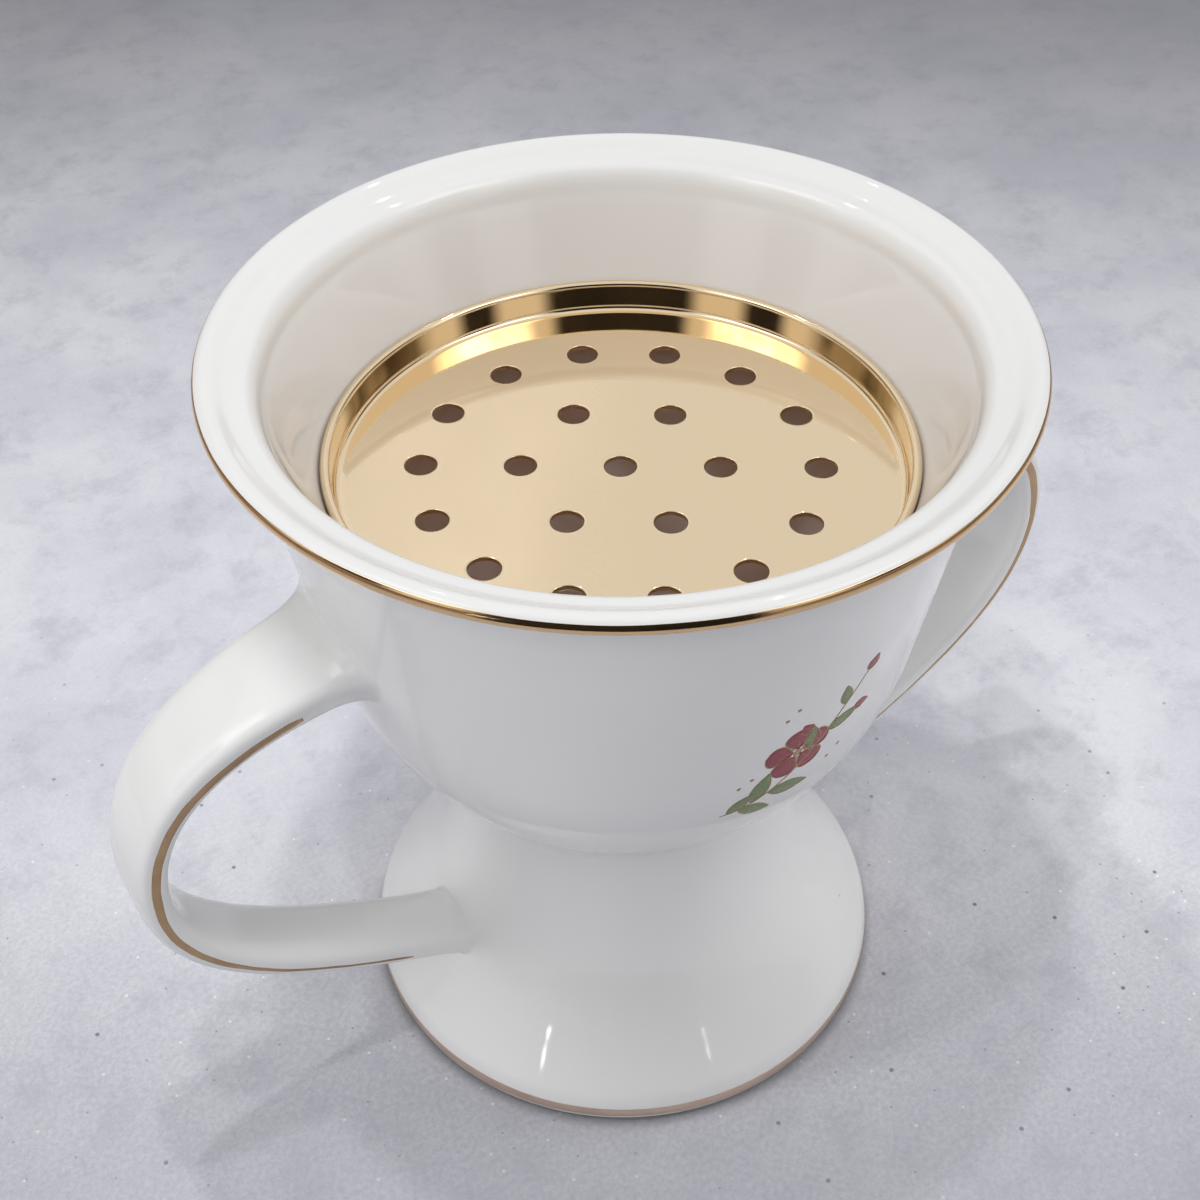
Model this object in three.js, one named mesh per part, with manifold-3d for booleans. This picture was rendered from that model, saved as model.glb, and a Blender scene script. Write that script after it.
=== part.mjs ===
// Two-handled porcelain ember cup: a footed bowl that carries a lift-out perforated metal pan.
// Millimetres, +Z up, origin at the middle of the foot's resting face.
// The handles lie along X, and the front of the bowl faces -Y.
import * as THREE from 'three';
import { mergeVertices } from 'three/addons/utils/BufferGeometryUtils.js';
import Module from 'manifold-3d';

const wasm = await Module();
wasm.setup();

// Overall
const HEIGHT = 118.5; // resting face to the crest of the lip
const JOINT_GAP = 0.3; // seam left where two porcelain pieces are luted together

// Perforated pan
const PAN_RADIUS = 40.2; // outside of its rim
const PAN_DROP = 17.2; // pan rim below the crest of the lip
const PAN_DEPTH = 4.5; // rim above the floor
const PAN_DRAFT = 0.15; // how far the wall leans out from floor to rim
const PAN_SHEET = 0.7; // sheet thickness, and the radius of the hem rolled along the rim
const PAN_CORNER = 0.9; // inside corner between floor and wall
const PAN_TURN = -33; // degrees, how the loose pan happens to lie
const HOLE_DIAMETER = 4.5;
const HOLE_OVERRUN = 1; // punch beyond both faces of the sheet
const HOLE_RINGS = [
  { count: 1, radius: 0 },
  { count: 6, radius: 13.6 },
  { count: 14, radius: 27.2 },
];

// Bowl
const PAN_CLEARANCE = 0.4; // between the pan's hem and the tapering wall that carries it
const MOUTH_DRAFT = 5.6; // how far the inside wall opens from the pan to the lip
const LIP_WIDTH = 8.1; // from the mouth to the outside of the lip
const LIP_EDGE = 1.4; // radius of the rounded outer edge of the lip
const LIP_GROOVE = 2.1; // depth of the shallow groove round the top of the lip
const LIP_RIDGE = 0.25; // ridge inside the groove, above its bottom
const LIP_RIDGE_WIDTH = 2.4; // from the mouth to that ridge
const LIP_ROLL = 3.9; // height of the roll from the ridge into the mouth
const LIP_OVERHANG = 6.45; // lip beyond the bowl's wall
const LIP_COVE = 12; // height of the cove from the wall up to the lip's crest
const BELLY_SWELL = 2.3; // belly beyond the pan's rim
const BELLY_RISE = 30; // belly above the waist
const KNUCKLE_RISE = 11.5; // where the wall turns under, above the waist
const NECK_RISE = 5; // rounding from the waist into the bowl
const NECK_FLARE = 1.7;
const BOWL_WALL = 5;
const BOWL_FLOOR = 5.5;
const CHAMBER_ROUND = 6; // sweep of the round bottom under the pan, inwards along its floor
const CHAMBER_RISE = 9; // and up its wall

// Pedestal
const WAIST_RADIUS = 26.3;
const WAIST_Z = 46; // seam between pedestal and bowl
const FOOT_RADIUS = 41.4;
const FOOT_EDGE = 6; // height of the foot's rounded edge
const FOOT_TUCK = 0.6; // how far that edge draws in at its top and bottom
const FOOT_ROUND = 4; // rounding from that edge into the flare
const FOOT_RING = 4; // width of the flat ring it rests on
const FLARE_REACH = 6.8; // sweep of the flare inwards from the foot
const FLARE_RISE = 9.5; // and upwards
const STEM_SWEEP = 18; // length of the curve that meets the waist
const STEM_LENGTH = 4; // straight stem under the waist
const PEDESTAL_WALL = 4.5;
const PEDESTAL_TOP = 6;

// Handles
const HANDLE_REACH = 33.2; // outermost point of the strap's middle, beyond the belly
const HANDLE_KNEE_Z = 58.6; // height of that point
const UPPER_ROOT_Z = 85.4;
const LOWER_ROOT_Z = 17.5;
const ROOT_EMBED = 4; // strap run on into the body before it is trimmed to it
const UPPER_SWEEP = new THREE.Vector2(22.6, -1.5); // direction in which the strap leaves the bowl
const LOWER_SWEEP = new THREE.Vector2(22.5, 10.2); // and the pedestal
const KNEE_SWEEP_UP = 16.7;
const KNEE_SWEEP_DOWN = 20.1;
const STRAP_WIDTH_TOP = 13.4;
const STRAP_WIDTH_BOTTOM = 11.3;
const STRAP_THICKNESS = 4.8;
const STRAP_SQUARENESS = 3; // exponent of the section's rounded outline, 2 being an ellipse
const UPPER_FLARE = { length: 57, width: 4.4, thickness: 4.4 };
const UPPER_LEAN = 0.22; // share by which the strap is wider above and narrower below at its upper root
const LOWER_FLARE = { length: 14, width: 0.8, thickness: 0.6 };
const UPPER_FILLET = 3; // rounding of the strap into the bowl, above and below
const LOWER_FILLET = 1.5; // and into the pedestal

// Gilt lines, laid a little proud so that each is its own thin piece
const GILT_DEPTH = 0.3;
const GILT_GAP = 0.05;
const RIM_GILT_FROM = -55; // degrees round the lip's edge, 0 being straight out
const RIM_GILT_TO = 42;
const FOOT_GILT_Z = 1.2;
const FOOT_GILT_WIDTH = 2.3;
const LINE_WIDTH = 1.2; // line along each edge of a strap
const LINE_START = 12.5; // along the strap from its upper root
const LINE_END = 13.5; // short of its lower root

// Share of a quarter ellipse's side that each handle of its cubic takes
const QUARTER_HANDLE = 0.5523;

// Fineness of the facets
const TURNED_SIDES = 56;
const HOLE_SIDES = 12;
const SWEEP_STEPS = 8; // along each long curve of a turned profile
const ROUND_STEPS = 3; // along each of its roundings
const HEM_STEPS = 6; // round the pan's hem
const STRAP_SIDES = 16;
const STRAP_STEPS = 16; // along each half of the strap
const STEP_CROWDING = 1.7; // exponent that draws those steps towards the roots

// Derived sizes
const panRimZ = HEIGHT - PAN_DROP;
const panFloorZ = panRimZ - PAN_DEPTH;
const panFloorRadius = PAN_RADIUS - PAN_SHEET - PAN_DRAFT;
const seatRadius = PAN_RADIUS + PAN_CLEARANCE;
const mouthRadius = seatRadius + MOUTH_DRAFT;
const lipRadius = mouthRadius + LIP_WIDTH;
const lipEdgeCentre = point(lipRadius - LIP_EDGE, HEIGHT - LIP_EDGE);
const throat = point(lipRadius - LIP_OVERHANG, HEIGHT - LIP_COVE);
const belly = point(PAN_RADIUS + BELLY_SWELL, WAIST_Z + BELLY_RISE);
const wallSlope = (throat.x - belly.x) / (throat.y - belly.y);

// A point of a turned profile: distance from the axis, then height
function point(radius, z) {
  return new THREE.Vector2(radius, z);
}

function arc(centre, radius, fromDegrees, toDegrees, steps) {
  const points = [];
  for (let i = 0; i <= steps; i += 1) {
    const angle = THREE.MathUtils.degToRad(THREE.MathUtils.lerp(fromDegrees, toDegrees, i / steps));
    points.push(point(centre.x + radius * Math.cos(angle), centre.y + radius * Math.sin(angle)));
  }
  return points;
}

function curve(start, startHandle, endHandle, end, steps) {
  return new THREE.CubicBezierCurve(start, startHandle, endHandle, end).getPoints(steps);
}

// Quarter of an ellipse that leaves one point upright and reaches the other level, or the other way round
function quarter(start, end, leavesUpright, steps) {
  const corner = leavesUpright ? point(start.x, end.y) : point(end.x, start.y);
  const handle = (from) => from.clone().lerp(corner, QUARTER_HANDLE);
  return curve(start, handle(start), handle(end), end, steps);
}

// Double curve, level at both ends
function ogee(start, end, steps) {
  const middle = (start.x + end.x) / 2;
  return curve(start, point(middle, start.y), point(middle, end.y), end, steps);
}

// Arc of a given radius that rounds the corner between two straight runs
function rounded(before, corner, after, radius, steps) {
  const back = before.clone().sub(corner).normalize();
  const on = after.clone().sub(corner).normalize();
  const half = Math.acos(back.dot(on)) / 2;
  const towards = back.clone().add(on).normalize();
  const centre = corner.clone().addScaledVector(towards, radius / Math.sin(half));
  const reach = radius / Math.tan(half);
  const first = corner.clone().addScaledVector(back, reach).sub(centre);
  const sweep = Math.PI - 2 * half;
  const turn = Math.sign(back.cross(on)) * -sweep;
  const points = [];
  for (let i = 0; i <= steps; i += 1) {
    points.push(first.clone().rotateAround(point(0, 0), (turn * i) / steps).add(centre));
  }
  return points;
}

// Turns a profile, outside upwards and inside downwards, about the Z axis
function turned(profile) {
  const geometry = new THREE.LatheGeometry(profile, TURNED_SIDES);
  return geometry.rotateX(Math.PI / 2);
}

// Skins a row of closed rings, each with as many points, and closes both ends
function lofted(rings) {
  const sides = rings[0].length;
  const positions = rings.flat().flatMap((p) => [p.x, p.y, p.z]);
  const index = [];
  for (let row = 0; row < rings.length - 1; row += 1) {
    for (let side = 0; side < sides; side += 1) {
      const here = row * sides + side;
      const next = row * sides + ((side + 1) % sides);
      index.push(here, next, here + sides, next, next + sides, here + sides);
    }
  }
  const last = (rings.length - 1) * sides;
  for (let side = 1; side < sides - 1; side += 1) {
    index.push(0, side + 1, side);
    index.push(last, last + side, last + side + 1);
  }
  const geometry = new THREE.BufferGeometry();
  geometry.setAttribute('position', new THREE.Float32BufferAttribute(positions, 3));
  geometry.setIndex(index);
  geometry.computeVertexNormals();
  return geometry;
}

// Closed geometry to a solid that can be cut
function toSolid(geometry) {
  const bare = new THREE.BufferGeometry();
  bare.setAttribute('position', geometry.getAttribute('position'));
  bare.setIndex(geometry.getIndex());
  const merged = mergeVertices(bare);
  const corners = merged.getIndex().array;
  const triangles = [];
  for (let i = 0; i < corners.length; i += 3) {
    const [a, b, c] = corners.slice(i, i + 3);
    if (a !== b && b !== c && c !== a) triangles.push(a, b, c);
  }
  return new wasm.Manifold(new wasm.Mesh({
    numProp: 3,
    vertProperties: merged.getAttribute('position').array,
    triVerts: Uint32Array.from(triangles),
  }));
}

function toGeometry(solid) {
  const { vertProperties, triVerts } = solid.getMesh();
  const geometry = new THREE.BufferGeometry();
  geometry.setAttribute('position', new THREE.BufferAttribute(vertProperties, 3));
  geometry.setIndex(new THREE.BufferAttribute(triVerts, 1));
  geometry.computeVertexNormals();
  return geometry;
}

function piece(name, geometry, material) {
  const mesh = new THREE.Mesh(geometry, material);
  mesh.name = name;
  return mesh;
}

function porcelain() {
  return new THREE.MeshStandardMaterial({ color: 0xf1efec, roughness: 0.12, metalness: 0 });
}

function gilt() {
  return new THREE.MeshStandardMaterial({ color: 0xb98f55, roughness: 0.25, metalness: 1 });
}

function polishedGold() {
  return new THREE.MeshStandardMaterial({ color: 0xdcb878, roughness: 0.08, metalness: 1 });
}

// Outside of the bowl from waist to throat, widened by a clearance where a neighbour is trimmed to it
function bowlOutside(clearance = 0) {
  const waist = point(WAIST_RADIUS, WAIST_Z);
  const neck = point(WAIST_RADIUS + NECK_FLARE, WAIST_Z + NECK_RISE);
  const knuckle = point(belly.x - wallSlope * (BELLY_RISE - KNUCKLE_RISE), WAIST_Z + KNUCKLE_RISE);
  const outside = [...curve(waist, neck, knuckle, belly, SWEEP_STEPS), throat];
  return outside.map((p) => point(p.x + clearance, p.y));
}

// Rounded outer edge of the lip, sunk by the depth of the gilt band over the band's stretch
function lipEdge() {
  const sunk = LIP_EDGE - GILT_DEPTH - GILT_GAP;
  const upper = arc(lipEdgeCentre, LIP_EDGE, RIM_GILT_TO, 90, ROUND_STEPS);
  const band = arc(lipEdgeCentre, sunk, RIM_GILT_FROM, RIM_GILT_TO, ROUND_STEPS);
  const [underside] = arc(lipEdgeCentre, LIP_EDGE, RIM_GILT_FROM, RIM_GILT_TO, 1);
  return [underside, ...band, ...upper];
}

// Top of the lip: a shallow groove, an inner ridge, then the roll into the mouth
function lipTop() {
  const crest = point(lipEdgeCentre.x, HEIGHT);
  const ridge = point(mouthRadius + LIP_RIDGE_WIDTH, HEIGHT - LIP_GROOVE + LIP_RIDGE);
  const groove = point((crest.x + ridge.x) / 2, HEIGHT - LIP_GROOVE);
  const mouth = point(mouthRadius, ridge.y - LIP_ROLL);
  return [
    ...ogee(crest, groove, ROUND_STEPS).slice(1),
    ...ogee(groove, ridge, ROUND_STEPS).slice(1),
    ...quarter(ridge, mouth, false, ROUND_STEPS).slice(1),
  ];
}

// Inside of the bowl from the pan's hem down: along the outside to the belly, then round to the floor
function bowlInside() {
  const seat = point(seatRadius, panRimZ - PAN_SHEET);
  const wallFoot = point(seat.x - wallSlope * (seat.y - belly.y), belly.y);
  const floor = point(WAIST_RADIUS - BOWL_WALL, WAIST_Z + BOWL_FLOOR);
  const chamber = curve(
    wallFoot,
    point(wallFoot.x - wallSlope * CHAMBER_RISE, wallFoot.y - CHAMBER_RISE),
    point(floor.x + CHAMBER_ROUND, floor.y),
    floor,
    SWEEP_STEPS,
  );
  return [seat, ...chamber, point(0, floor.y)];
}

function bowl() {
  const cove = quarter(throat, lipEdge()[0], true, ROUND_STEPS);
  const profile = [
    point(0, WAIST_Z),
    ...bowlOutside(),
    ...cove.slice(1, -1),
    ...lipEdge(),
    ...lipTop(),
    ...bowlInside(),
  ];
  return piece('bowl', turned(profile), porcelain());
}

function rimGiltBand() {
  const endGap = THREE.MathUtils.radToDeg(GILT_GAP / LIP_EDGE);
  const from = RIM_GILT_FROM + endGap;
  const to = RIM_GILT_TO - endGap;
  const inside = arc(lipEdgeCentre, LIP_EDGE - GILT_DEPTH, to, from, ROUND_STEPS);
  const outside = arc(lipEdgeCentre, LIP_EDGE, from, to, ROUND_STEPS);
  return piece('rim_gilt_band', turned([...outside, ...inside, outside[0]]), gilt());
}

// Foot's edge from the resting ring to the top of the sunk stretch that holds the gilt band
function footEdge() {
  const top = FOOT_GILT_Z + FOOT_GILT_WIDTH;
  return [
    point(FOOT_RADIUS - FOOT_TUCK, 0),
    point(FOOT_RADIUS, FOOT_GILT_Z),
    point(FOOT_RADIUS - GILT_DEPTH, FOOT_GILT_Z),
    point(FOOT_RADIUS - GILT_DEPTH, top),
    point(FOOT_RADIUS, top),
  ];
}

// Outside of the pedestal above the foot's edge, up to the waist
function pedestalOutside(clearance = 0) {
  const foot = point(FOOT_RADIUS - FOOT_TUCK, FOOT_EDGE);
  const stemTop = point(WAIST_RADIUS, WAIST_Z - STEM_LENGTH);
  const flare = curve(
    foot,
    point(foot.x - FLARE_REACH, foot.y + FLARE_RISE),
    point(WAIST_RADIUS, stemTop.y - STEM_SWEEP),
    stemTop,
    SWEEP_STEPS,
  );
  const shoulder = rounded(footEdge().at(-1), foot, flare[1], FOOT_ROUND, ROUND_STEPS);
  const outside = [...shoulder, ...flare.slice(1), point(WAIST_RADIUS, WAIST_Z)];
  return outside.map((p) => point(p.x + clearance, p.y));
}

function pedestalFoot() {
  const ringInside = FOOT_RADIUS - FOOT_TUCK - FOOT_RING;
  const ceiling = WAIST_Z - PEDESTAL_TOP;
  const stemInside = WAIST_RADIUS - PEDESTAL_WALL;
  const hollow = curve(
    point(stemInside, ceiling),
    point(stemInside, ceiling - STEM_SWEEP),
    point(ringInside - FLARE_REACH, FLARE_RISE),
    point(ringInside, 0),
    SWEEP_STEPS,
  );
  const profile = [
    point(0, ceiling),
    ...hollow,
    ...footEdge(),
    ...pedestalOutside(),
    point(0, WAIST_Z),
  ];
  return piece('pedestal_foot', turned(profile), porcelain());
}

function footGiltBand() {
  const low = FOOT_GILT_Z + GILT_GAP;
  const high = FOOT_GILT_Z + FOOT_GILT_WIDTH - GILT_GAP;
  const inside = FOOT_RADIUS - GILT_DEPTH + GILT_GAP;
  const profile = [
    point(FOOT_RADIUS, low),
    point(FOOT_RADIUS, high),
    point(inside, high),
    point(inside, low),
    point(FOOT_RADIUS, low),
  ];
  return piece('foot_gilt_band', turned(profile), gilt());
}

// Pressed pan with a flat floor, a leaning wall and a hem rolled outwards, then pierced with rings of holes
function perforatedPan() {
  const underside = panFloorZ - PAN_SHEET;
  const hem = point(PAN_RADIUS - PAN_SHEET, panRimZ - PAN_SHEET);
  const outsideCorner = point(panFloorRadius, underside);
  const insideCorner = point(panFloorRadius - PAN_SHEET, panFloorZ);
  const insideTop = point(hem.x - PAN_SHEET, hem.y);
  const profile = [
    point(0, underside),
    ...rounded(point(0, underside), outsideCorner, hem, PAN_CORNER + PAN_SHEET, ROUND_STEPS),
    ...arc(hem, PAN_SHEET, -90, 180, HEM_STEPS),
    ...rounded(insideTop, insideCorner, point(0, panFloorZ), PAN_CORNER, ROUND_STEPS),
    point(0, panFloorZ),
  ];
  let pan = toSolid(turned(profile));
  const punchLength = PAN_SHEET + 2 * HOLE_OVERRUN;
  const punch = new THREE.CylinderGeometry(HOLE_DIAMETER / 2, HOLE_DIAMETER / 2, punchLength, HOLE_SIDES);
  punch.rotateX(Math.PI / 2);
  for (const ring of HOLE_RINGS) {
    for (let i = 0; i < ring.count; i += 1) {
      const angle = THREE.MathUtils.degToRad(PAN_TURN) + (i / ring.count) * Math.PI * 2;
      const hole = punch.clone().translate(
        ring.radius * Math.cos(angle),
        ring.radius * Math.sin(angle),
        panFloorZ - PAN_SHEET / 2,
      );
      pan = pan.subtract(toSolid(hole));
    }
  }
  return piece('perforated_pan', toGeometry(pan), polishedGold());
}

// Radius of a turned outline at a height
function radiusAt(outline, z) {
  const upper = outline.findIndex((p) => p.y >= z);
  const [a, b] = [outline[upper - 1], outline[upper]];
  return THREE.MathUtils.mapLinear(z, a.y, b.y, a.x, b.x);
}

// Middle line of a strap in the X-Z plane, from the bowl out to the knee and back to the pedestal
function strapPath() {
  const upper = new THREE.Vector3(radiusAt(bowlOutside(), UPPER_ROOT_Z) - ROOT_EMBED, 0, UPPER_ROOT_Z);
  const lower = new THREE.Vector3(radiusAt(pedestalOutside(), LOWER_ROOT_Z) - ROOT_EMBED, 0, LOWER_ROOT_Z);
  const knee = new THREE.Vector3(belly.x + HANDLE_REACH, 0, HANDLE_KNEE_Z);
  const path = new THREE.CurvePath();
  path.add(new THREE.CubicBezierCurve3(
    upper,
    new THREE.Vector3(upper.x + UPPER_SWEEP.x, 0, upper.z + UPPER_SWEEP.y),
    new THREE.Vector3(knee.x, 0, knee.z + KNEE_SWEEP_UP),
    knee,
  ));
  path.add(new THREE.CubicBezierCurve3(
    knee,
    new THREE.Vector3(knee.x, 0, knee.z - KNEE_SWEEP_DOWN),
    new THREE.Vector3(lower.x + LOWER_SWEEP.x, 0, lower.z + LOWER_SWEEP.y),
    lower,
  ));
  return path;
}

// Extra height of a round fillet at a distance from the wall that it runs into
function fillet(distance, radius) {
  const inset = radius - THREE.MathUtils.clamp(distance, 0, radius);
  return radius - Math.sqrt(radius ** 2 - inset ** 2);
}

// Places along the strap: middle, outward normal, and half sizes that flare towards both roots
function strapStations() {
  const path = strapPath();
  const [upperHalf, lowerHalf] = path.curves;
  const total = path.getLength();
  const stations = [];
  const addStation = (half, share) => {
    const along = half.getTangentAt(share);
    stations.push({ middle: half.getPointAt(share), normal: new THREE.Vector3(-along.z, 0, along.x) });
  };
  const crowded = (i) => (i / STRAP_STEPS) ** STEP_CROWDING;
  for (let i = 0; i <= STRAP_STEPS; i += 1) addStation(upperHalf, crowded(i));
  for (let i = STRAP_STEPS - 1; i >= 0; i -= 1) addStation(lowerHalf, 1 - crowded(i));
  let run = 0;
  stations.forEach((station, i) => {
    if (i) run += station.middle.distanceTo(stations[i - 1].middle);
    const top = Math.max(0, 1 - run / UPPER_FLARE.length) ** 2;
    const bottom = Math.max(0, 1 - (total - run) / LOWER_FLARE.length) ** 2;
    const width = THREE.MathUtils.lerp(STRAP_WIDTH_TOP, STRAP_WIDTH_BOTTOM, run / total);
    station.run = run;
    station.left = total - run;
    station.lean = UPPER_LEAN * top;
    station.halfWidth = (width + UPPER_FLARE.width * top + LOWER_FLARE.width * bottom) / 2;
    const flare = UPPER_FLARE.thickness * top + LOWER_FLARE.thickness * bottom;
    const fillets = fillet(run - ROOT_EMBED, UPPER_FILLET) + fillet(total - run - ROOT_EMBED, LOWER_FILLET);
    station.halfThickness = (STRAP_THICKNESS + flare) / 2 + fillets;
  });
  return stations;
}

// Share of its half width that a strap has at a distance out from its middle
function leaning(station, out) {
  return 1 + (station.lean * out) / station.halfThickness;
}

// Rounded section of the strap, with a narrow flat along each edge where a gilt line lies
function strapSection(station) {
  const ring = [];
  const power = 2 / STRAP_SQUARENESS;
  for (let i = 0; i < STRAP_SIDES; i += 1) {
    const angle = ((i + 0.5) / STRAP_SIDES) * Math.PI * 2;
    const edge = Math.sign(Math.cos(angle)) * Math.abs(Math.cos(angle)) ** power * station.halfWidth;
    const out = Math.sign(Math.sin(angle)) * Math.abs(Math.sin(angle)) ** power * station.halfThickness;
    const across = edge * leaning(station, out);
    ring.push(station.middle.clone().addScaledVector(station.normal, out).setY(across));
  }
  return ring;
}

function strap(stations) {
  const body = toSolid(lofted(stations.map(strapSection)));
  const bowlTrim = [point(0, WAIST_Z), ...bowlOutside(JOINT_GAP), point(0, throat.y)];
  const footTop = pedestalOutside(JOINT_GAP);
  const footTrim = [point(0, footTop[0].y), ...footTop, point(0, WAIST_Z)];
  return body.subtract(toSolid(turned(bowlTrim))).subtract(toSolid(turned(footTrim)));
}

// Thin gilt line along one edge of the strap; side is 1 or -1
function edgeLine(stations, side) {
  const power = 2 / STRAP_SQUARENESS;
  const flat = Math.cos(Math.PI / STRAP_SIDES) ** power;
  const rings = stations
    .filter((station) => station.run > LINE_START && station.left > LINE_END)
    .map((station) => {
      const low = station.halfWidth * flat + GILT_GAP;
      const high = low + GILT_DEPTH;
      const half = LINE_WIDTH / 2;
      const corners = [[-half, low], [-half, high], [half, high], [half, low]];
      const ring = corners.map(([out, across]) => station.middle.clone()
        .addScaledVector(station.normal, out)
        .setY(side * across * leaning(station, out)));
      return side < 0 ? ring.reverse() : ring;
    });
  return lofted(rings);
}

// A handle with its two gilt lines, standing out along +X before it is turned to its side
function handle(side, turn) {
  const stations = strapStations();
  const group = new THREE.Group();
  const near = turn === 0 ? 'front' : 'back';
  const far = turn === 0 ? 'back' : 'front';
  group.add(piece(`${side}_handle`, toGeometry(strap(stations)), porcelain()));
  group.add(piece(`${side}_handle_${near}_line`, edgeLine(stations, -1), gilt()));
  group.add(piece(`${side}_handle_${far}_line`, edgeLine(stations, 1), gilt()));
  group.rotation.z = turn;
  return group;
}

const cup = new THREE.Group();
cup.add(pedestalFoot(), bowl(), rimGiltBand(), footGiltBand(), perforatedPan());
cup.add(handle('right', 0), handle('left', Math.PI));

export default cup;
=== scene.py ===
"""Looks of a two-handled porcelain ember cup with a loose perforated pan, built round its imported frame."""

import math

import bmesh
import bpy
import numpy as np
from mathutils import Matrix, Vector


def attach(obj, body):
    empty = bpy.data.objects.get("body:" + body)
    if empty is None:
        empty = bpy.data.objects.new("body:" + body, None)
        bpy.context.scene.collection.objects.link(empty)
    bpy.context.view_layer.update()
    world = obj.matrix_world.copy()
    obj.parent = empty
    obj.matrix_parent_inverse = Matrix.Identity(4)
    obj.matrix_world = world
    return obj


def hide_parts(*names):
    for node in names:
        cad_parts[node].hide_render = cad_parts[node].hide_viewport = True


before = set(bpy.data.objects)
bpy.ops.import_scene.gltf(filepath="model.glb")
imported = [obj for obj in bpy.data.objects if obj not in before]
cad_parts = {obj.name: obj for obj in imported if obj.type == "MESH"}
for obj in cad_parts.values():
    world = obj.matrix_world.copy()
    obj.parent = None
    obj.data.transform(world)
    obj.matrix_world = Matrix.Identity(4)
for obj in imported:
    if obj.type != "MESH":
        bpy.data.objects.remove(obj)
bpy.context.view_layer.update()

MM = 0.001

# Sizes in millimetres, nearly all as in the solids
HEIGHT = 118.5
PAN_RADIUS = 40.2
PAN_RIM_Z = 101.3
PAN_FLOOR_Z = 96.8
PAN_DRAFT = 0.15
PAN_SHEET = 0.7
PAN_CORNER = 0.9
PAN_TURN = -33  # degrees, how the loose pan lies
PAN_FLAT_RADIUS = 36.8  # pierced part of the floor
PAN_FLAT_BORDER = 0.4
HOLE_RADIUS = 2.25
HOLE_EDGE = 0.08  # rounding of the holes' edges
HOLE_BORDER = 0.3
HOLE_RINGS = ((1, 0), (6, 13.6), (14, 27.2))  # number of holes and radius of each ring
SEAT_RADIUS = 40.35
MOUTH_RADIUS = 46.2
LIP_RADIUS = 54.3
LIP_EDGE = 1.4
LIP_GROOVE = 2.1
LIP_RIDGE = 0.25
LIP_RIDGE_WIDTH = 2.4
LIP_ROLL = 3.9
LIP_SWEEP = 1.7
GROOVE_SWEEP = (2.1, 0.5)
THROAT = (47.85, 106.5)
BELLY = (42.5, 76)
WAIST_RADIUS = 26.3
WAIST_Z = 46
FOOT_RADIUS = 41.4
FOOT_TUCK = 0.6
FOOT_EDGE = 6
FOOT_RING = 4
FOOT_ROUND = 4
FOOT_SWEEP = (6.8, 9.5)  # pull of the flare's curve, inwards and upwards
FLARE_START = 6  # points of the flare's curve given up to the rounded edge
FOOT_GILT = (1.2, 3.5)  # heights between which the gold lies
STEM_Z = (24, 42)  # heights that the flare's curve pulls towards and ends at
STEM_WALL = 4.5
HOLLOW_TOP_Z = 40
HOLLOW_SWEEP = 18
WAIST_SWEEP = (1.7, 5)
KNUCKLE_RISE = 11.5  # where the bowl's wall turns under, above the waist
RIM_GILT = (-55, 42)  # degrees round the lip's edge between which the gold lies
BOWL_FLOOR_Z = 51.5
BOWL_FLOOR_INSET = 5
CHAMBER_RISE = 9
CHAMBER_ROUND = 6
GLAZE_SOFTNESS = 0.6  # spread of the rounding that glaze gives every corner
HANDLE_KNEE = (75.7, 58.6)
KNEE_SWEEP = (16.7, 20.1)  # pull of the strap's curves, above and below the knee
UPPER_ROOT_Z = 85.4
UPPER_SWEEP = (22.6, 1.5)
LOWER_ROOT_Z = 17.5
LOWER_SWEEP = (22.5, 10.2)
ROOT_EMBED = 4
ROOT_SUNK = 2.5  # depth of the strap's closed ends under the wall
ROOT_PULL = 0.62
UPPER_REACH = (2.8, 2.6, 2.2)  # spread of a root from the strap's outer side, edges and inner side
LOWER_REACH = (0.5, 0.5, 0.7)
STRAP_WIDTH = (13.4, 11.3)  # at the upper and at the lower end
STRAP_THICKNESS = 4.8
STRAP_SQUARENESS = 3.6
FLARE_LENGTH = (57, 14)  # stretch that flares to the upper and to the lower root
FLARE_WIDTH = (4.4, 0.8)
FLARE_THICKNESS = (4.4, 0.6)
UPPER_LEAN = 0.22

# Heights and radii in metres where the glaze takes its painted warm shade from the gold pan, where the bare
# biscuit starts, and where the floor takes its painted contact shadow
THROAT_Z = (0.096, 0.112)
THROAT_RADII = (0.043, 0.048)
PAN_GLOW_RISE = (0.096, 0.100)
PAN_GLOW_FALL = (0.110, 0.116)
BISCUIT_Z = (0.0007, 0.0011)
CONTACT_SHADE_RADII = (0.0408, 0.0432)

# Fineness
SIDES = 240
STRAP_SIDES = 72
STRAP_STEPS = 84
HOLE_SIDES = 40

# Camera, as fitted to the photograph
CAMERA_PLACE = (-99.15, -159.30, 243.75)
CAMERA_FORWARD = (0.3798, 0.6329, -0.6748)
CAMERA_ROLL = -0.85
CAMERA_LENS = 52.5
CAMERA_AZIMUTH = math.degrees(math.atan2(CAMERA_PLACE[1], CAMERA_PLACE[0]))
SENSOR = 36

# Level directions along which the floor's grain and its painted shade change
FAR_WAY = (0.70, 0.714)
DEPTH_WAY = (0.515, 0.857)


# Plane curves

QUARTER_PULL = 0.5523  # makes a cubic curve follow a quarter of a circle


def cubic(t, a, b, c, d):
    return (1 - t) ** 3 * a + 3 * t * (1 - t) ** 2 * b + 3 * t ** 2 * (1 - t) * c + t ** 3 * d


def bezier(a, b, c, d, steps=60):
    t = np.linspace(0, 1, steps + 1)[:, None]
    return cubic(t, *(np.asarray(p, float) for p in (a, b, c, d)))


def arc(centre, radius, start, end, steps=30):
    angle = np.radians(np.linspace(start, end, steps + 1))
    return np.stack([centre[0] + radius * np.cos(angle), centre[1] + radius * np.sin(angle)], -1)


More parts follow.
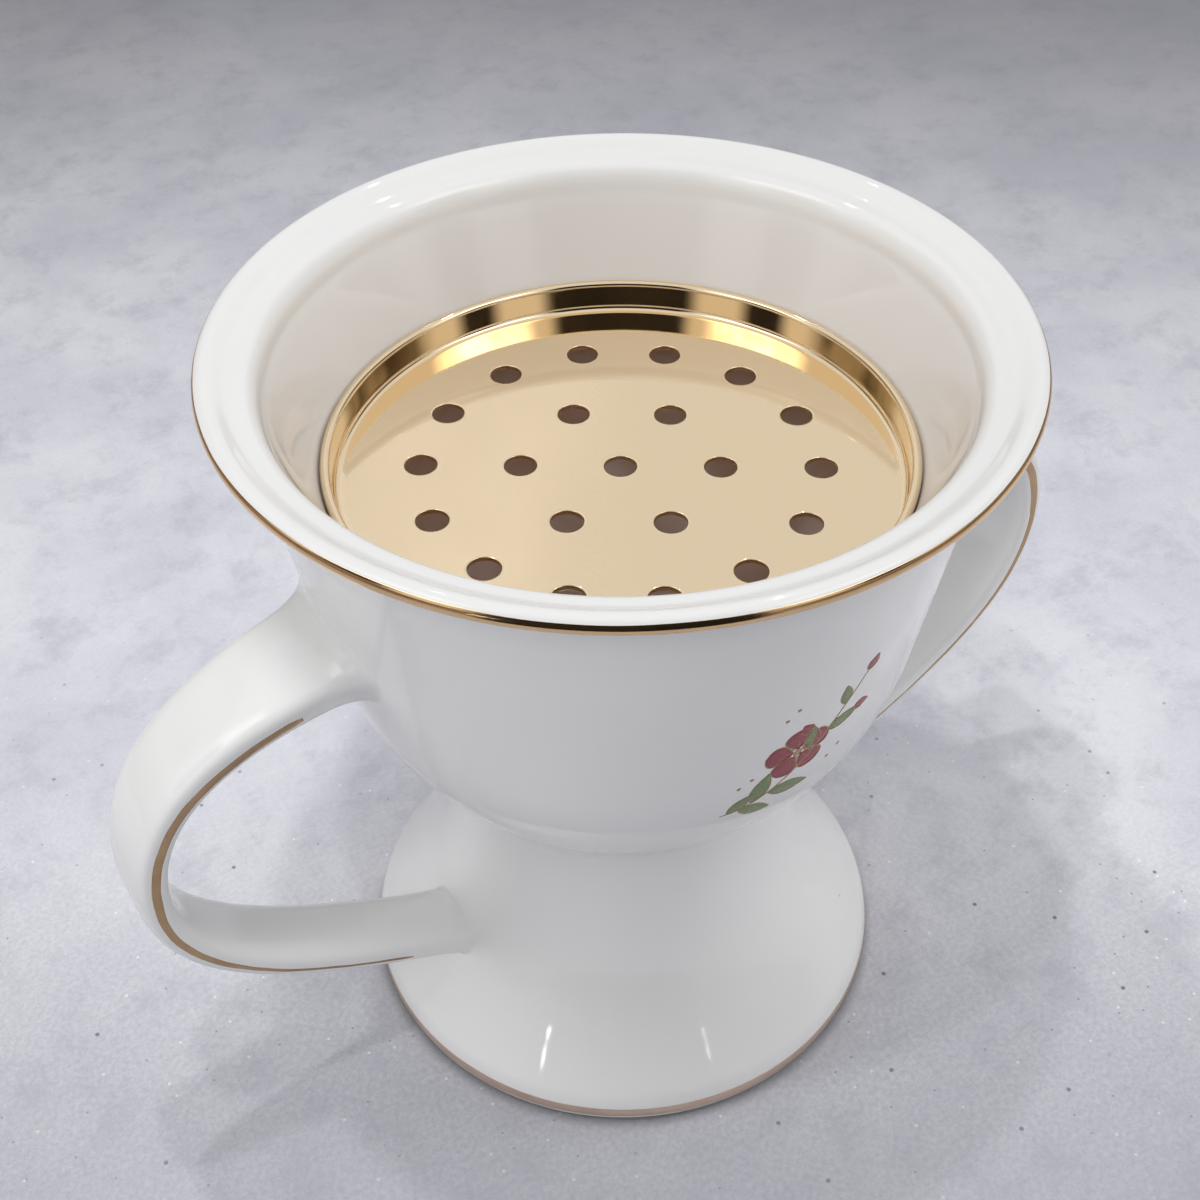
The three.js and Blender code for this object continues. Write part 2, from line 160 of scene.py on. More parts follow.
def quarter(a, b, corner):
    a, b, corner = (np.asarray(p, float) for p in (a, b, corner))
    return bezier(a, a + QUARTER_PULL * (corner - a), b + QUARTER_PULL * (corner - b), b)


def rounded(before, corner, after, radius, steps=10):
    """Arc that rounds the corner between two straight runs."""
    before, corner, after = (np.asarray(p, float) for p in (before, corner, after))
    back = (before - corner) / np.linalg.norm(before - corner)
    on = (after - corner) / np.linalg.norm(after - corner)
    half = math.acos(float(back @ on)) / 2
    middle = (back + on) / np.linalg.norm(back + on)
    centre = corner + middle * radius / math.sin(half)
    first = corner + back * radius / math.tan(half) - centre
    last = corner + on * radius / math.tan(half) - centre
    angle = math.pi - 2 * half
    points = []
    for t in np.linspace(0, 1, steps + 1):
        swing = math.sin((1 - t) * angle) * first + math.sin(t * angle) * last
        points.append(centre + swing / math.sin(angle))
    return np.array(points)


def lengths(points):
    return np.concatenate([[0], np.cumsum(np.linalg.norm(np.diff(points, axis=0), axis=1))])


def evenly(points, step):
    run = lengths(points)
    at = np.linspace(0, run[-1], max(2, int(round(run[-1] / step)) + 1))
    return np.stack([np.interp(at, run, points[:, i]) for i in range(points.shape[1])], -1)


def softened(points, spread, step=0.1):
    """Outline rounded as glaze rounds it, by a bell-shaped mean along its length."""
    even = evenly(points, step)
    reach = int(3 * spread / step)
    weight = np.exp(-0.5 * (np.arange(-reach, reach + 1) * step / spread) ** 2)
    weight /= weight.sum()
    head = even[reach:0:-1] * (-1, 1)
    tail = even[-2:-reach - 2:-1] * (-1, 1)
    padded = np.vstack([head, even, tail])
    smooth = np.stack([np.convolve(padded[:, i], weight, "valid") for i in (0, 1)], -1)
    smooth[0, 0] = smooth[-1, 0] = 0
    return smooth


def thinned(points, tolerance):
    """Outline with the points dropped that lie within a tolerance of their neighbours' chord."""
    keep = {0, len(points) - 1}
    spans = [(0, len(points) - 1)]
    while spans:
        first, last = spans.pop()
        chord = points[last] - points[first]
        off = points[first + 1:last] - points[first]
        if len(off) == 0:
            continue
        away = np.abs(chord[0] * off[:, 1] - chord[1] * off[:, 0]) / max(np.linalg.norm(chord), 1e-9)
        worst = int(np.argmax(away))
        if away[worst] > tolerance:
            middle = first + 1 + worst
            keep.add(middle)
            spans += [(first, middle), (middle, last)]
    return points[sorted(keep)]


# Meshes

def new_object(name, points, faces, material):
    """Smooth mesh from points in millimetres, its faces turned outwards."""
    mesh = bpy.data.meshes.new(name)
    mesh.from_pydata([tuple(p) for p in np.asarray(points) * MM], [], faces)
    work = bmesh.new()
    work.from_mesh(mesh)
    bmesh.ops.recalc_face_normals(work, faces=work.faces)
    work.to_mesh(mesh)
    work.free()
    mesh.shade_smooth()
    mesh.materials.append(material)
    made = bpy.data.objects.new(name, mesh)
    bpy.context.scene.collection.objects.link(made)
    return made


def grid_faces(rows, columns, wrap_rows=False, wrap_columns=True, start=0):
    faces = []
    for row in range(rows if wrap_rows else rows - 1):
        below = start + ((row + 1) % rows) * columns
        here = start + row * columns
        for column in range(columns if wrap_columns else columns - 1):
            side = (column + 1) % columns
            faces.append((here + column, here + side, below + side, below + column))
    return faces


def spun(radius, height, sides=SIDES):
    angle = np.linspace(0, 2 * math.pi, sides, endpoint=False)
    return np.stack([radius * np.cos(angle), radius * np.sin(angle), np.full(sides, height)], -1)


def turned(name, outline, material):
    """Solid of revolution whose outline starts and ends on the axis."""
    inner = outline[1:-1]
    points = [spun(r, z) for r, z in inner]
    top = len(inner) * SIDES
    faces = grid_faces(len(inner), SIDES)
    last = (len(inner) - 1) * SIDES
    for side in range(SIDES):
        other = (side + 1) % SIDES
        faces.append((top, other, side))
        faces.append((top + 1, last + side, last + other))
    poles = [[[0, 0, outline[0][1]]], [[0, 0, outline[-1][1]]]]
    return new_object(name, np.vstack(points + poles), faces, material)


def skin(rings, wrap=False):
    """Points and faces of a closed skin over rings of equal count, its ends closed unless it wraps round."""
    sides = len(rings[0])
    points = np.vstack(rings)
    faces = grid_faces(len(rings), sides, wrap_rows=wrap)
    if not wrap:
        faces.append(tuple(range(sides)))
        faces.append(tuple(range(len(points) - sides, len(points))))
    return points, faces


def skinned(name, rings, material, wrap=False):
    return joined(name, [skin(rings, wrap)], material)


def joined(name, skins, material):
    """One object from several skins."""
    points, faces, count = [], [], 0
    for part_points, part_faces in skins:
        points.append(part_points)
        faces += [tuple(count + i for i in face) for face in part_faces]
        count += len(part_points)
    return new_object(name, np.vstack(points), faces, material)


# Materials

def shader(name):
    """Node material, its nodes, its links and its principled shader."""
    material = bpy.data.materials.new(name)
    material.use_nodes = True
    nodes = material.node_tree.nodes
    return material, nodes, material.node_tree.links, nodes["Principled BSDF"]


def noise(nodes, links, place, scale, detail=2.0, roughness=0.5):
    node = nodes.new("ShaderNodeTexNoise")
    node.inputs["Scale"].default_value = scale
    node.inputs["Detail"].default_value = detail
    node.inputs["Roughness"].default_value = roughness
    links.new(place, node.inputs["Vector"])
    return node.outputs["Fac"]


def ranged(nodes, links, value, low, high, to_low, to_high, smooth=False):
    node = nodes.new("ShaderNodeMapRange")
    node.interpolation_type = "SMOOTHSTEP" if smooth else "LINEAR"
    for socket, number in zip(("From Min", "From Max", "To Min", "To Max"), (low, high, to_low, to_high)):
        node.inputs[socket].default_value = number
    links.new(value, node.inputs["Value"])
    return node.outputs["Result"]


def blended(nodes, links, factor, first, second):
    """Mix of two colours; each is a tuple or a socket."""
    node = nodes.new("ShaderNodeMix")
    node.data_type = "RGBA"
    links.new(factor, node.inputs["Factor"])
    for socket, colour in zip((node.inputs[6], node.inputs[7]), (first, second)):
        if isinstance(colour, tuple):
            socket.default_value = (*colour, 1)
        else:
            links.new(colour, socket)
    return node.outputs[2]


def product(nodes, links, first, second):
    node = nodes.new("ShaderNodeMath")
    node.operation = "MULTIPLY"
    links.new(first, node.inputs[0])
    links.new(second, node.inputs[1])
    return node.outputs[0]


def bumped(nodes, links, shade, height, strength, distance):
    node = nodes.new("ShaderNodeBump")
    node.inputs["Strength"].default_value = strength
    node.inputs["Distance"].default_value = distance
    links.new(height, node.inputs["Height"])
    links.new(node.outputs["Normal"], shade.inputs["Normal"])


def place_of(nodes):
    return nodes.new("ShaderNodeTexCoord").outputs["Object"]


def along(nodes, links, place, way):
    """How far a place lies along a level direction."""
    far = nodes.new("ShaderNodeVectorMath")
    far.operation = "DOT_PRODUCT"
    far.inputs[1].default_value = (*way, 0)
    links.new(place, far.inputs[0])
    return far.outputs["Value"]


def specks(nodes, links, place, scale, size, share, flat=False):
    """Mask of scattered round specks.

    Takes cells per metre, the specks' radius in cells and the share of cells that hold one.
    """
    cells = nodes.new("ShaderNodeTexVoronoi")
    cells.voronoi_dimensions = "2D" if flat else "3D"
    cells.inputs["Scale"].default_value = scale
    links.new(place, cells.inputs["Vector"])
    split = nodes.new("ShaderNodeSeparateColor")
    links.new(cells.outputs["Color"], split.inputs["Color"])
    held = ranged(nodes, links, split.outputs["Red"], 1 - share, 1 - share + 0.01, 0, 1)
    disc = ranged(nodes, links, cells.outputs["Distance"], 0.5 * size, size, 1, 0, True)
    return product(nodes, links, disc, held)


def porcelain():
    material, nodes, links, shade = shader("porcelain_glaze")
    place = place_of(nodes)
    shade.inputs["IOR"].default_value = 1.52
    cloud = noise(nodes, links, place, 28, 3)
    white = blended(nodes, links, cloud, (0.86, 0.855, 0.84), (0.82, 0.818, 0.808))
    # Iron specks, a few fine grey dots under the glaze
    specked = blended(nodes, links, specks(nodes, links, place, 70, 0.028, 0.19), white, (0.45, 0.43, 0.41))
    axes = nodes.new("ShaderNodeSeparateXYZ")
    links.new(place, axes.inputs["Vector"])
    # Painted warm shade on the inside wall between the pan and the lip: darker, with the tint of light
    # thrown up by the gold pan
    across = nodes.new("ShaderNodeVectorMath")
    across.operation = "MULTIPLY"
    across.inputs[1].default_value = (1, 1, 0)
    links.new(place, across.inputs[0])
    radius = nodes.new("ShaderNodeVectorMath")
    radius.operation = "LENGTH"
    links.new(across.outputs["Vector"], radius.inputs[0])
    throat = nodes.new("ShaderNodeMath")
    throat.operation = "LESS_THAN"
    links.new(radius.outputs["Value"], throat.inputs[0])
    links.new(ranged(nodes, links, axes.outputs["Z"], *THROAT_Z, *THROAT_RADII), throat.inputs[1])
    above = ranged(nodes, links, axes.outputs["Z"], *PAN_GLOW_RISE, 0, 0.55, True)
    under_lip = ranged(nodes, links, axes.outputs["Z"], *PAN_GLOW_FALL, 1, 0, True)
    pan_glow_shade = product(nodes, links, product(nodes, links, throat.outputs[0], above), under_lip)
    with_pan_glow_shade = blended(nodes, links, pan_glow_shade, specked, (0.68, 0.625, 0.575))
    # Unglazed biscuit at the very edge that the foot stands on
    bare = ranged(nodes, links, axes.outputs["Z"], *BISCUIT_Z, 1, 0, True)
    links.new(blended(nodes, links, bare, with_pan_glow_shade, (0.62, 0.54, 0.45)), shade.inputs["Base Color"])
    gloss = ranged(nodes, links, noise(nodes, links, place, 60, 4), 0.3, 0.7, 0.02, 0.05)
    rough = nodes.new("ShaderNodeMath")
    rough.operation = "MAXIMUM"
    links.new(gloss, rough.inputs[0])
    links.new(ranged(nodes, links, bare, 0, 1, 0, 0.75), rough.inputs[1])
    links.new(rough.outputs[0], shade.inputs["Roughness"])
    bumped(nodes, links, shade, noise(nodes, links, place, 75, 1), 0.12, 0.0006)
    return material


def gilt(name, bright, deep, smoothest, roughest):
    material, nodes, links, shade = shader(name)
    place = place_of(nodes)
    shade.inputs["Metallic"].default_value = 1
    wear = noise(nodes, links, place, 260, 4)
    links.new(blended(nodes, links, wear, bright, deep), shade.inputs["Base Color"])
    links.new(ranged(nodes, links, wear, 0.3, 0.7, smoothest, roughest), shade.inputs["Roughness"])
    bumped(nodes, links, shade, noise(nodes, links, place, 500, 3), 0.15, 0.00005)
    return material


def polished_gold():
    material, nodes, links, shade = shader("polished_gold")
    place = place_of(nodes)
    shade.inputs["Metallic"].default_value = 1
    tone = noise(nodes, links, place, 30, 2)
    colour = blended(nodes, links, tone, (0.92, 0.745, 0.51), (0.90, 0.72, 0.48))
    links.new(colour, shade.inputs["Base Color"])
    fine = noise(nodes, links, place, 900, 5, 0.7)
    links.new(ranged(nodes, links, fine, 0.35, 0.75, 0.03, 0.09), shade.inputs["Roughness"])
    bumped(nodes, links, shade, noise(nodes, links, place, 45, 1), 0.05, 0.0003)
    return material


def enamel(name, light, deep):
    material, nodes, links, shade = shader(name)
    place = place_of(nodes)
    colour = blended(nodes, links, noise(nodes, links, place, 420, 4), light, deep)
    links.new(colour, shade.inputs["Base Color"])
    gloss = ranged(nodes, links, noise(nodes, links, place, 700, 3), 0.3, 0.7, 0.16, 0.3)
    links.new(gloss, shade.inputs["Roughness"])
    return material


def floor_stone():
    """Pale cast floor, grained, with pores and grit, darker beyond and before the cup as painted shade."""
    material, nodes, links, shade = shader("floor_stone")
    place = place_of(nodes)
    broad = ranged(nodes, links, noise(nodes, links, place, 16, 6, 0.65), 0.36, 0.64, 0, 1, True)
    fine = noise(nodes, links, place, 1100, 6, 0.8)
    pale = blended(nodes, links, broad, (0.68, 0.68, 0.76), (0.83, 0.835, 0.88))
    far = along(nodes, links, place, FAR_WAY)
    depth = along(nodes, links, place, DEPTH_WAY)
    grains = ranged(nodes, links, fine, 0.36, 0.64, 0, 1)
    grain = blended(nodes, links, grains, (0.42, 0.42, 0.48), (0.84, 0.84, 0.88))
    coarse = ranged(nodes, links, depth, -0.05, 0.05, 0.62, 0.14, True)
    grained = blended(nodes, links, coarse, pale, grain)
    mottle = ranged(nodes, links, noise(nodes, links, place, 70, 6, 0.75), 0.46, 0.70, 0, 0.5, True)
    mottled = blended(nodes, links, mottle, grained, (0.48, 0.48, 0.545))
    near = ranged(nodes, links, depth, -0.03, 0.10, 1, 0.1, True)
    pores = product(nodes, links, specks(nodes, links, place, 95, 0.045, 0.2, True), near)
    pored = blended(nodes, links, pores, mottled, (0.16, 0.16, 0.19))
    pits = product(nodes, links, specks(nodes, links, place, 260, 0.07, 0.1, True), near)
    pitted = blended(nodes, links, pits, pored, (0.34, 0.34, 0.38))
    grit = product(nodes, links, specks(nodes, links, place, 240, 0.08, 0.1, True), near)
    gritty = blended(nodes, links, grit, pitted, (1.0, 1.0, 1.0))
    # Painted shade: darker far from the cup, where the lamps' light falls off
    beyond = ranged(nodes, links, far, 0.10, 0.42, 0, 0.70, True)
    with_far_shade = blended(nodes, links, beyond, gritty, (0.25, 0.25, 0.285))
    # Painted shade: darker on the camera's side of the cup
    before = ranged(nodes, links, depth, -0.07, 0.02, 0.55, 0, True)
    with_near_shade = blended(nodes, links, before, with_far_shade, (0.40, 0.40, 0.45))
    # Painted contact shadow where the foot meets the floor
    radius = nodes.new("ShaderNodeVectorMath")
    radius.operation = "LENGTH"
    links.new(place, radius.inputs[0])
    contact_shade = ranged(nodes, links, radius.outputs["Value"], *CONTACT_SHADE_RADII, 0.6, 0, True)
    links.new(blended(nodes, links, contact_shade, with_near_shade, (0.10, 0.10, 0.11)), shade.inputs["Base Color"])
    shade.inputs["Roughness"].default_value = 0.55
    bumped(nodes, links, shade, fine, 0.35, 0.0004)
    return material


# Outline of the glazed body: foot hollow, resting ring, outside, lip, inside

WALL_SLOPE = (THROAT[0] - BELLY[0]) / (THROAT[1] - BELLY[1])


def body_outline():
    ring_inside = FOOT_RADIUS - FOOT_TUCK - FOOT_RING
    stem_inside = WAIST_RADIUS - STEM_WALL
    hollow = bezier(
        (stem_inside, HOLLOW_TOP_Z), (stem_inside, HOLLOW_TOP_Z - HOLLOW_SWEEP),
        (ring_inside - FOOT_SWEEP[0], FOOT_SWEEP[1]), (ring_inside, 0),
    )
    foot_top = (FOOT_RADIUS - FOOT_TUCK, FOOT_EDGE)
    flare = bezier(
        foot_top, (foot_top[0] - FOOT_SWEEP[0], foot_top[1] + FOOT_SWEEP[1]),
        (WAIST_RADIUS, STEM_Z[0]), (WAIST_RADIUS, STEM_Z[1]),
    )[FLARE_START:]
    band_top = (FOOT_RADIUS, FOOT_GILT[1])
    shoulder = rounded(band_top, foot_top, flare[0], FOOT_ROUND)
    edge = np.vstack([[(FOOT_RADIUS - FOOT_TUCK, 0), (FOOT_RADIUS, FOOT_GILT[0]), band_top], shoulder])
    knuckle_z = WAIST_Z + KNUCKLE_RISE
    knuckle = (BELLY[0] - WALL_SLOPE * (BELLY[1] - knuckle_z), knuckle_z)
    above_waist = (WAIST_RADIUS + WAIST_SWEEP[0], WAIST_Z + WAIST_SWEEP[1])
    bowl = bezier((WAIST_RADIUS, WAIST_Z), above_waist, knuckle, BELLY)
    edge_centre = (LIP_RADIUS - LIP_EDGE, HEIGHT - LIP_EDGE)
    lip_edge = arc(edge_centre, LIP_EDGE, RIM_GILT[0], 90)
    cove = quarter(THROAT, lip_edge[0], (THROAT[0], lip_edge[0][1]))
    crest = (edge_centre[0], HEIGHT)
    ridge = (MOUTH_RADIUS + LIP_RIDGE_WIDTH, HEIGHT - LIP_GROOVE + LIP_RIDGE)
    groove = (ridge[0] + GROOVE_SWEEP[0], ridge[1] - GROOVE_SWEEP[1])
    top = bezier(crest, (crest[0] - LIP_SWEEP, crest[1]), groove, ridge)
    mouth = (MOUTH_RADIUS, ridge[1] - LIP_ROLL)
    roll = quarter(ridge, mouth, (mouth[0], ridge[1]))
    seat = (SEAT_RADIUS, PAN_RIM_Z - PAN_SHEET)
    wall_foot = (seat[0] - WALL_SLOPE * (seat[1] - BELLY[1]), BELLY[1])
    floor = (WAIST_RADIUS - BOWL_FLOOR_INSET, BOWL_FLOOR_Z)
    well = bezier(
        wall_foot, (wall_foot[0] - WALL_SLOPE * CHAMBER_RISE, wall_foot[1] - CHAMBER_RISE),
        (floor[0] + CHAMBER_ROUND, floor[1]), floor,
    )
    return np.vstack([
        [(0, HOLLOW_TOP_Z)], hollow, edge, flare, bowl, [THROAT], cove, lip_edge,
        top, roll, [seat], well, [(0, BOWL_FLOOR_Z)],
    ])


outline = softened(body_outline(), GLAZE_SOFTNESS)
outline_run = lengths(outline)
# The outer wall alone, from the foot's edge to the lip's
outer_start = int(np.argmax(outline[:, 0] > FOOT_RADIUS - 0.2))
outer_end = int(np.argmax(outline[:, 0] > LIP_RADIUS - 0.8))
outer_wall = outline[outer_start:outer_end]


def wall_radius(height):
    return np.interp(height, outer_wall[:, 1], outer_wall[:, 0])


NORMAL_STEP = 0.2


def wall_normal(points):
    """Outward normals of the body's outer wall at points near it."""
    rise = wall_radius(points[:, 2] + NORMAL_STEP) - wall_radius(points[:, 2] - NORMAL_STEP)
    slope = rise / (2 * NORMAL_STEP)
    radius = np.hypot(points[:, 0], points[:, 1])
    normal = np.stack([points[:, 0] / radius, points[:, 1] / radius, -slope], -1)
    return normal / np.linalg.norm(normal, axis=1)[:, None]


def onto_wall(points, lift=0.0):
    radius = np.hypot(points[:, 0], points[:, 1])
    wall = wall_radius(points[:, 2]) / radius
    on = np.stack([points[:, 0] * wall, points[:, 1] * wall, points[:, 2]], -1)
    return on + lift * wall_normal(on)


def unit(vectors):
    return vectors / np.linalg.norm(vectors, axis=1)[:, None]


# Strap handles

UPPER_START = (float(wall_radius(UPPER_ROOT_Z)) - ROOT_EMBED, UPPER_ROOT_Z)
LOWER_END = (float(wall_radius(LOWER_ROOT_Z)) - ROOT_EMBED, LOWER_ROOT_Z)
strap_line = evenly(np.vstack([
    bezier(UPPER_START, (UPPER_START[0] + UPPER_SWEEP[0], UPPER_START[1] - UPPER_SWEEP[1]),
           (HANDLE_KNEE[0], HANDLE_KNEE[1] + KNEE_SWEEP[0]), HANDLE_KNEE, 300),
    bezier(HANDLE_KNEE, (HANDLE_KNEE[0], HANDLE_KNEE[1] - KNEE_SWEEP[1]),
           (LOWER_END[0] + LOWER_SWEEP[0], LOWER_END[1] + LOWER_SWEEP[1]), LOWER_END, 300)[1:],
]), 0.2)
strap_run = lengths(strap_line)
STRAP_LENGTH = strap_run[-1]
strap_tangent = unit(np.gradient(strap_line, axis=0))


def strap_frame(run):
    """Middle, outward normal, half width, half thickness and lean of the strap at a run along it."""
    x, z = (np.interp(run, strap_run, strap_line[:, i]) for i in (0, 1))
    course = np.array([np.interp(run, strap_run, strap_tangent[:, i]) for i in (0, 1)])
    course /= np.linalg.norm(course)
    top = max(0, 1 - run / FLARE_LENGTH[0]) ** 2
    bottom = max(0, 1 - (STRAP_LENGTH - run) / FLARE_LENGTH[1]) ** 2
    width = STRAP_WIDTH[0] + (STRAP_WIDTH[1] - STRAP_WIDTH[0]) * run / STRAP_LENGTH
    half_width = (width + FLARE_WIDTH[0] * top + FLARE_WIDTH[1] * bottom) / 2
    half_thickness = (STRAP_THICKNESS + FLARE_THICKNESS[0] * top + FLARE_THICKNESS[1] * bottom) / 2
    normal = np.array([-course[1], 0, course[0]])
    return np.array([x, 0, z]), normal, half_width, half_thickness, UPPER_LEAN * top


STRAP_ANGLES = (np.arange(STRAP_SIDES) + 0.5) / STRAP_SIDES * 2 * math.pi


def strap_ring(run):
    middle, normal, half_width, half_thickness, lean = strap_frame(run)
    power = 2 / STRAP_SQUARENESS
    c, s = np.cos(STRAP_ANGLES), np.sin(STRAP_ANGLES)
    across = np.sign(c) * np.abs(c) ** power
    out = np.sign(s) * np.abs(s) ** power
    ring = middle + half_thickness * out[:, None] * normal
    ring[:, 1] = half_width * across * (1 + lean * out)
    return ring


def strap_facing(run):
    """Outward directions at each point of the strap's section, in space and in the section's own plane."""
    _, normal, half_width, half_thickness, _ = strap_frame(run)
    c, s = np.cos(STRAP_ANGLES), np.sin(STRAP_ANGLES)
    power = 2 - 2 / STRAP_SQUARENESS
    across = np.sign(c) * np.abs(c) ** power / half_width
    out = np.sign(s) * np.abs(s) ** power / half_thickness
    facing = out[:, None] * normal
    facing[:, 1] = across
    return unit(facing), unit(np.stack([across, out], -1))


def root_rings(run, inward, reaches, steps=14):
    """Rings that carry the strap's section at a run smoothly onto the body's wall and under it."""
    reach_outer, reach_side, reach_inner = reaches
    start = strap_ring(run)
    course = unit(strap_ring(run + 0.5 * inward) - start)
    # Halving finds how far along its course each point meets the wall
    near, far = np.zeros(STRAP_SIDES), np.full(STRAP_SIDES, 30.0)
    for _ in range(40):
        half = (near + far) / 2
        probe = start + half[:, None] * course
        outside = np.hypot(probe[:, 0], probe[:, 1]) > wall_radius(probe[:, 2])
        near, far = np.where(outside, half, near), np.where(outside, far, half)
    meet = onto_wall(start + near[:, None] * course)
    facing, tilt = strap_facing(run)
    spreads = np.where(tilt[:, 1] > 0, reach_outer, reach_inner) * tilt[:, 1] ** 2
    spreads = spreads + reach_side * tilt[:, 0] ** 2
    flat = wall_normal(meet)
    spread = unit(facing - np.sum(facing * flat, 1)[:, None] * flat)
    end = onto_wall(meet + spreads[:, None] * spread)
    flat = wall_normal(end)
    leave = unit(spread - np.sum(spread * flat, 1)[:, None] * flat)
    pull = np.linalg.norm(end - meet, axis=1)[:, None]
    first, second = start + ROOT_PULL * (meet - start), end - ROOT_PULL * pull * leave
    rings = []
    for t in np.linspace(0, 1, steps + 1)[1:]:
        rings.append(cubic(t, start, first, second, end))
    rings.append(onto_wall(end + 0.5 * leave, -0.02))
    rings.append(onto_wall(end + 1.0 * leave, -0.12))
    rings.append(onto_wall(meet, -ROOT_SUNK))
    return rings


UPPER_BLEND = ROOT_EMBED + 5
LOWER_BLEND = ROOT_EMBED + 2.2


def strap_handle(name, turn, material):
    upper = root_rings(UPPER_BLEND, -1, UPPER_REACH)
    lower = root_rings(STRAP_LENGTH - LOWER_BLEND, 1, LOWER_REACH)
    runs = np.linspace(UPPER_BLEND, STRAP_LENGTH - LOWER_BLEND, STRAP_STEPS)
    rings = upper[::-1] + [strap_ring(run) for run in runs] + lower
    return skinned(name, [turned_about(ring, turn) for ring in rings], material)


def turned_about(points, turn):
    c, s = math.cos(turn), math.sin(turn)
    x, y, z = points.T
    return np.stack([c * x - s * y, s * x + c * y, z], -1)


# Painted gilt

def waver(at, seed, size):
    """Slow unevenness of a line drawn by hand, repeating every full turn."""
    waves = ((3, 1.0), (7, 0.7), (13, 0.5), (29, 0.35))
    return size * sum(share * np.sin(count * at + seed * (count + 1.3)) for count, share in waves)


GILT_LIFT = -0.01 + 0.06 * np.sin(np.linspace(0, math.pi, 9))  # height over the glaze, across a line
GILT_DEPTH = 0.2  # under the glaze
LINE_ENDS = (12.5, 13.5)  # bare stretch at the strap's upper and lower end
LINE_STEPS = 110
LINE_WIDTH = ((0.12, 0.35, 0.5, 0.75), (1.7, 1.5, 1.1, 0.5))  # shares of the strap's length, widths there
LINE_COURSE = ((0.2, 0.55, 0.7), (-0.35, 0.25, 0.45))  # the same for its shift towards the outer side


def painted_ring(name, start, end, seed, material):
    """Thin gilt ring on the turned body between two lengths along its outline."""
    slope = np.gradient(outline, axis=0)
    rings = []
    for angle in np.linspace(0, 2 * math.pi, SIDES, endpoint=False):
        first = start + waver(angle, seed, 0.05)
        last = end + waver(angle, seed + 2, 0.05)
        runs = np.linspace(first, last, len(GILT_LIFT))
        section = [raised(run, slope, lift) for run, lift in zip(runs, GILT_LIFT)]
        section += [raised(last, slope, -GILT_DEPTH), raised(first, slope, -GILT_DEPTH)]
        c, s = math.cos(angle), math.sin(angle)
        rings.append(np.array([(r * c, r * s, z) for r, z in section]))
    return skinned(name, rings, material, wrap=True)


def raised(run, slope, lift):
    """Point of the body's outline at a length along it, lifted off the surface."""
    r, z = (np.interp(run, outline_run, outline[:, i]) for i in (0, 1))
    dr, dz = (np.interp(run, outline_run, slope[:, i]) for i in (0, 1))
    size = math.hypot(dr, dz)
    return r + lift * dz / size, z - lift * dr / size


def run_at(test):
    """Length along the outline of the first point that passes a test."""
    return outline_run[int(np.argmax(test))]


def painted_line(name, side, turn, material):
    """Thin gilt line along one edge of a strap; side is 1 or -1."""
    rings = []
    start, end = LINE_ENDS[0], STRAP_LENGTH - LINE_ENDS[1]
    places = np.linspace(-1, 1, len(GILT_LIFT))
    for run in np.linspace(start, end, LINE_STEPS):
        middle, normal, half_width, half_thickness, lean = strap_frame(run)
        fullness = min(1, 0.5 + min(run - start, end - run) / 3.0)
        width = float(np.interp(run / STRAP_LENGTH, *LINE_WIDTH))
        half = 0.5 * width * fullness + waver(run / 20, 1.7 + side, 0.02)
        course = float(np.interp(run / STRAP_LENGTH, *LINE_COURSE))
        shift = waver(run / 25, 4.1 + side, 0.05) + course
        section = [(shift + place * half, lift) for place, lift in zip(places, GILT_LIFT)]
        section += [(shift + half, -GILT_DEPTH), (shift - half, -GILT_DEPTH)]
        ring = []
        for out, lift in section:
            share = out / half_thickness
            across = half_width * (1 - abs(share) ** STRAP_SQUARENESS) ** (1 / STRAP_SQUARENESS)
            point = middle + out * normal
            point[1] = side * (across * (1 + lean * share) + lift)
            ring.append(point)
        rings.append(turned_about(np.array(ring), turn))
    return skinned(name, rings, material)


# Painted sprig on the front of the bowl, drawn flat in millimetres and laid on the glaze

SPRIG_Z = 80
SPRIG_RADIUS = float(wall_radius(SPRIG_Z))
LINE_SECTION = ((-1, -0.03), (-0.6, 0.03), (0, 0.05), (0.6, 0.03), (1, -0.03), (0, -0.15))
FILL_SECTION = ((0.5, -0.25), (1, -0.05), (0.97, 0.012), (0.75, 0.03), (0.4, 0.04), (0.05, 0.042))
STEM_STROKE = 0.42
EDGE_STROKE = 0.24
BUD_STROKE = 0.26
VEIN_STROKE = 0.18
PETAL_STROKE = 0.16
RIB_STROKE = 0.12
PETALS = 5
# Each leaf: share of the stem, turn in degrees, length and width
LEAVES = (
    (0.05, 38, 5.2, 2.3), (0.14, -42, 6.0, 2.6), (0.24, 46, 6.6, 2.8), (0.36, -48, 6.8, 2.9),
    (0.66, 44, 5.8, 2.5), (0.75, -46, 5.6, 2.4), (0.88, 40, 4.4, 1.9),
)
# Each bud: share of the stem, turn in degrees and length of its stalk
BUDS = ((0.80, -62, 3.4), (0.99, 0, 0.6), (0.70, 66, 3.6))
DOTS = ((-8.6, -4.2), (-6.9, -2.9), (5.6, -5.6), (7.2, -4.0), (-3.6, 8.2), (-2.2, 9.7))


def direction(angle):
    return np.array((math.cos(angle), math.sin(angle)))


def on_bowl(flat, lift):
    angle = flat[:, 0] / SPRIG_RADIUS - math.pi / 2
    return onto_wall(np.stack([np.cos(angle), np.sin(angle), SPRIG_Z + flat[:, 1]], -1), lift)


def stroke(course, width):
    """Skin of a brushed line, thinner towards both ends."""
    even = evenly(np.asarray(course, float), 0.2)
    ahead = unit(np.gradient(even, axis=0))
    aside = np.stack([-ahead[:, 1], ahead[:, 0]], -1)
    share = np.sin(math.pi * np.linspace(0.06, 0.94, len(even))) ** 0.5
    half = width / 2 * share[:, None]
    rows = [on_bowl(even + place * half * aside, lift) for place, lift in LINE_SECTION]
    return skin(list(np.stack(rows, 1)))


